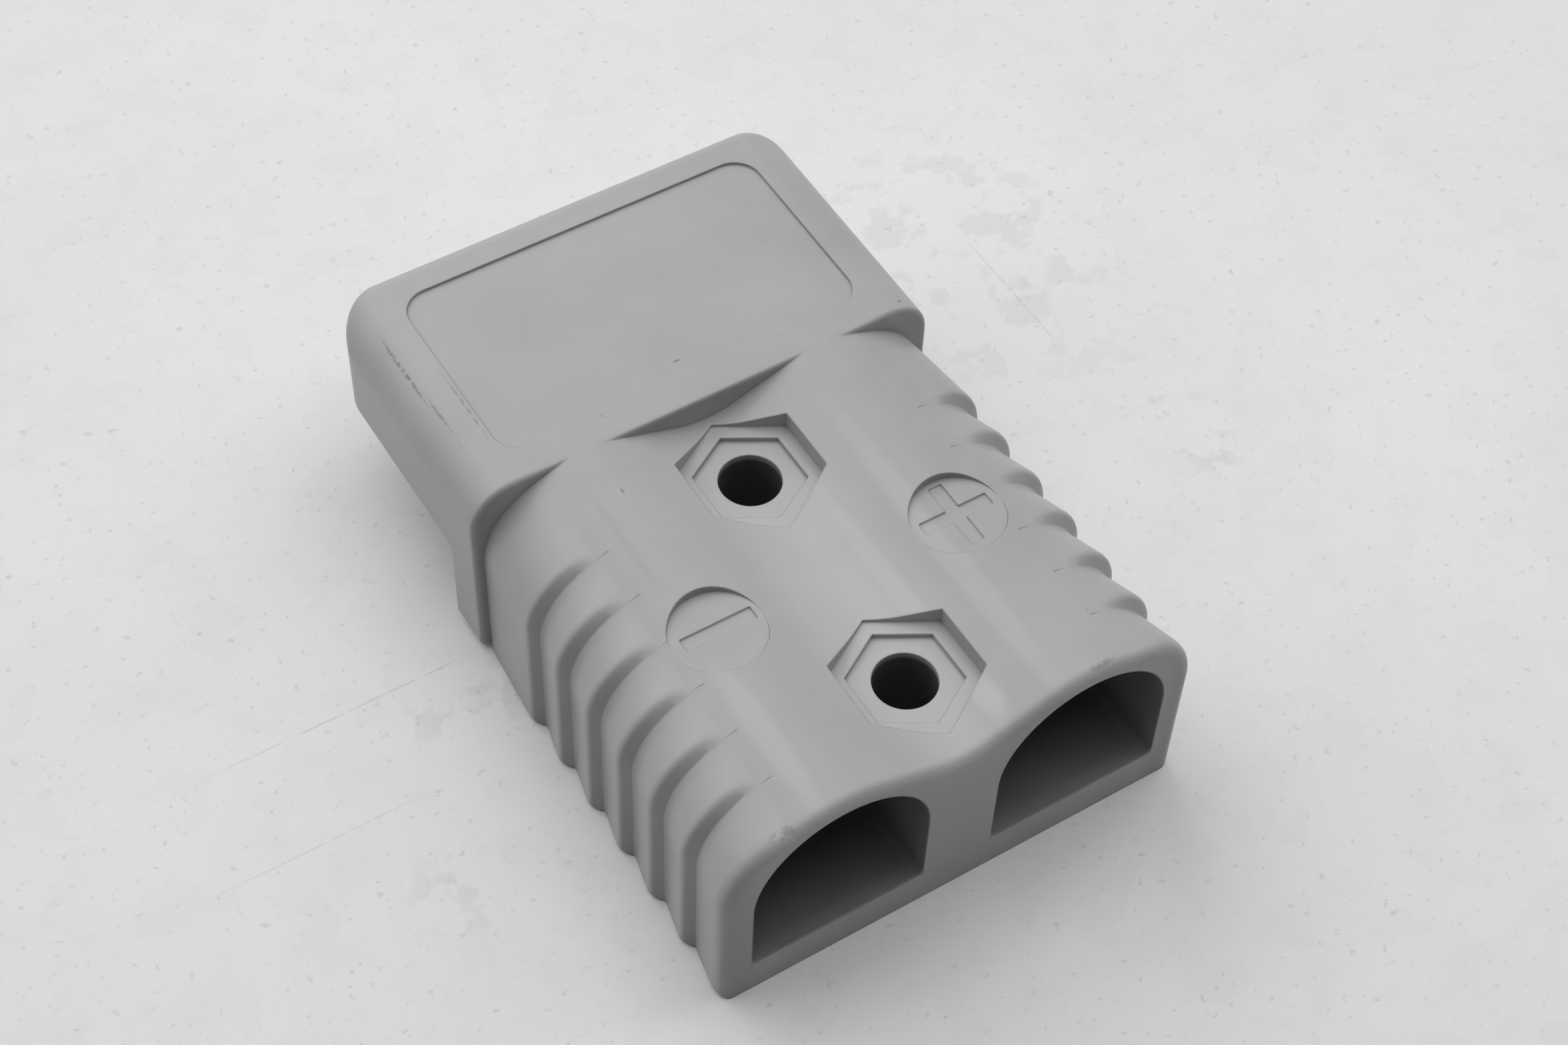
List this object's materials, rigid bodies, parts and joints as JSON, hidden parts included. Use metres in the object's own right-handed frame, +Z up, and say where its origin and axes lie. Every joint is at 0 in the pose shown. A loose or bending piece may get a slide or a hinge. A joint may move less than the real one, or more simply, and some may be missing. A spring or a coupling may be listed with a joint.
{
  "type": "genderless power connector",
  "caption": "Flat genderless battery connector half: hollow grey housing with ribbed grip lobes, rear cable entries, bolt holes, and sprung blade contacts under an overhanging nose.",
  "frame": {"origin": "middle of the flat underside, half way along the length and the width", "axes": "+X across the poles towards the plus side, +Y from the cable end to the mating end, +Z up from the underside"},
  "size_m": [0.0544, 0.0794, 0.0254],
  "materials": {
    "housing_plastic": "satin moulded grey with fine grain and light handling wear",
    "contact_plating": "silver plated copper",
    "spring_steel": "bright rolled stainless strip"
  },
  "bodies": {
    "root": {"housing": "housing_plastic", "contact_plus": "contact_plating", "contact_minus": "contact_plating", "leaf_spring_plus": "spring_steel", "leaf_spring_minus": "spring_steel"}
  },
  "joints": []
}
